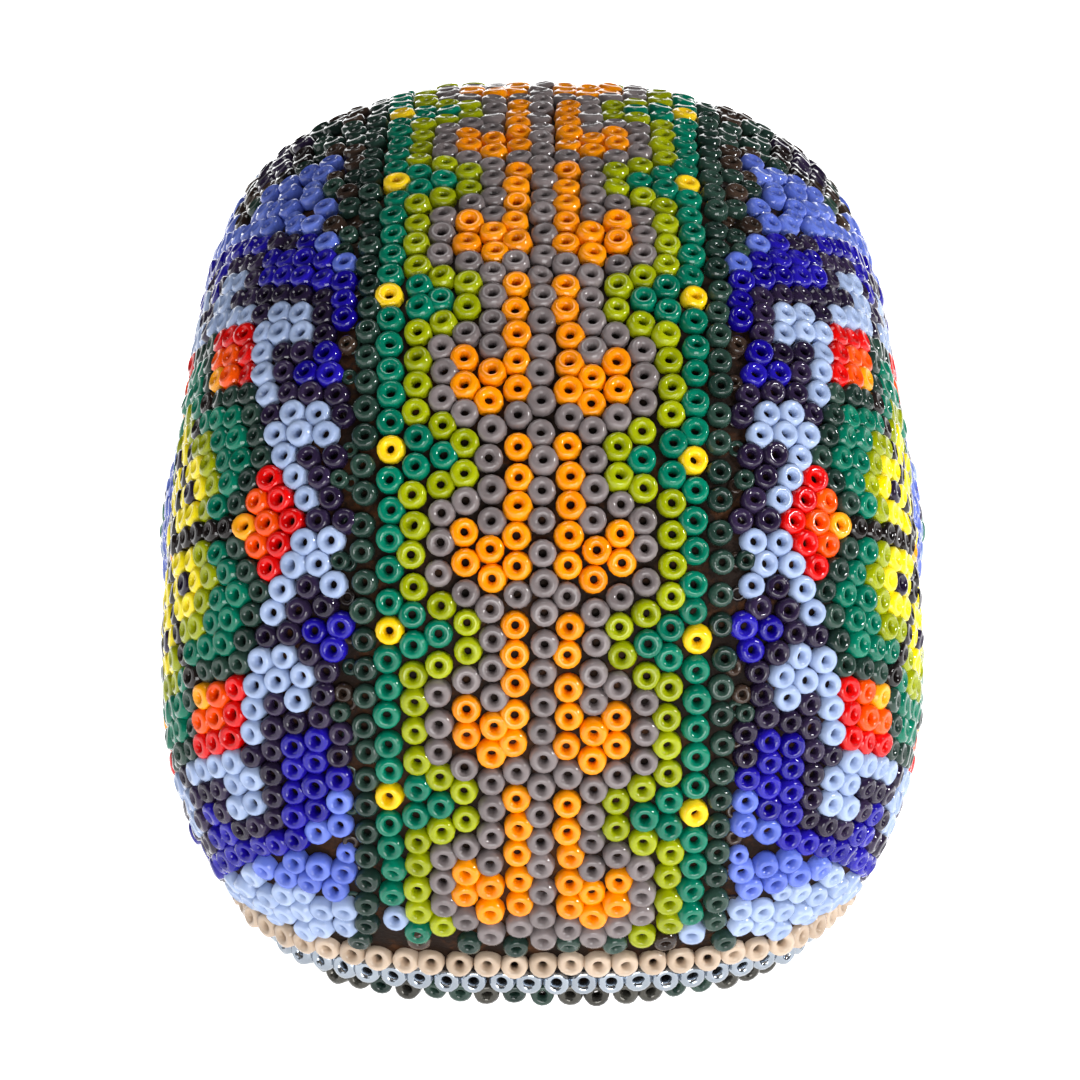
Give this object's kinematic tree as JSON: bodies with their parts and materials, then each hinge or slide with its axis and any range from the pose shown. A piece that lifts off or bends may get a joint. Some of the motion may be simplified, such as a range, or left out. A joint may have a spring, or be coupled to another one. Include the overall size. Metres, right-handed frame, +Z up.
{
  "type": "beaded skull figure",
  "caption": "Small skull figure with a solid core, a coat of beeswax and a skin of glass seed beads laid in patterned fields, standing on its flat base.",
  "frame": {"origin": "middle of the figure's box, on the surface it stands on", "axes": "+Z up, +Y the way the face looks, +X to the skull's own right; the back faces -Y"},
  "size_m": [0.067, 0.0847, 0.0635],
  "materials": {
    "core": "matt papier-mache or soft wood",
    "beeswax": "dull brown beeswax",
    "black_beads": "glossy opaque glass",
    "beige_beads": "glossy opaque glass",
    "band_beads": "glossy opaque glass",
    "star_beads": "glossy opaque glass",
    "blue_beads": "glossy opaque glass",
    "dark_beads": "glossy opaque glass",
    "tooth_beads": "glossy opaque glass",
    "eye_beads": "glossy opaque glass"
  },
  "bodies": {
    "root": {"core": "core", "wax_coat": "beeswax", "base_row_lower": "black_beads", "base_row_upper": "black_beads", "base_row_beige": "beige_beads", "centre_band": "band_beads", "border_column_left": "black_beads", "border_column_right": "black_beads", "medallion_left": "star_beads", "medallion_right": "star_beads", "side_field_left": "blue_beads", "side_field_right": "blue_beads", "crown_field_left": "dark_beads", "crown_field_right": "dark_beads", "temple_left": "blue_beads", "temple_right": "blue_beads", "forehead": "band_beads", "cheek_left": "blue_beads", "cheek_right": "blue_beads", "eye_socket_left": "eye_beads", "eye_socket_right": "eye_beads", "nose_hollow": "dark_beads", "upper_teeth": "tooth_beads", "lower_teeth": "tooth_beads"}
  },
  "joints": []
}
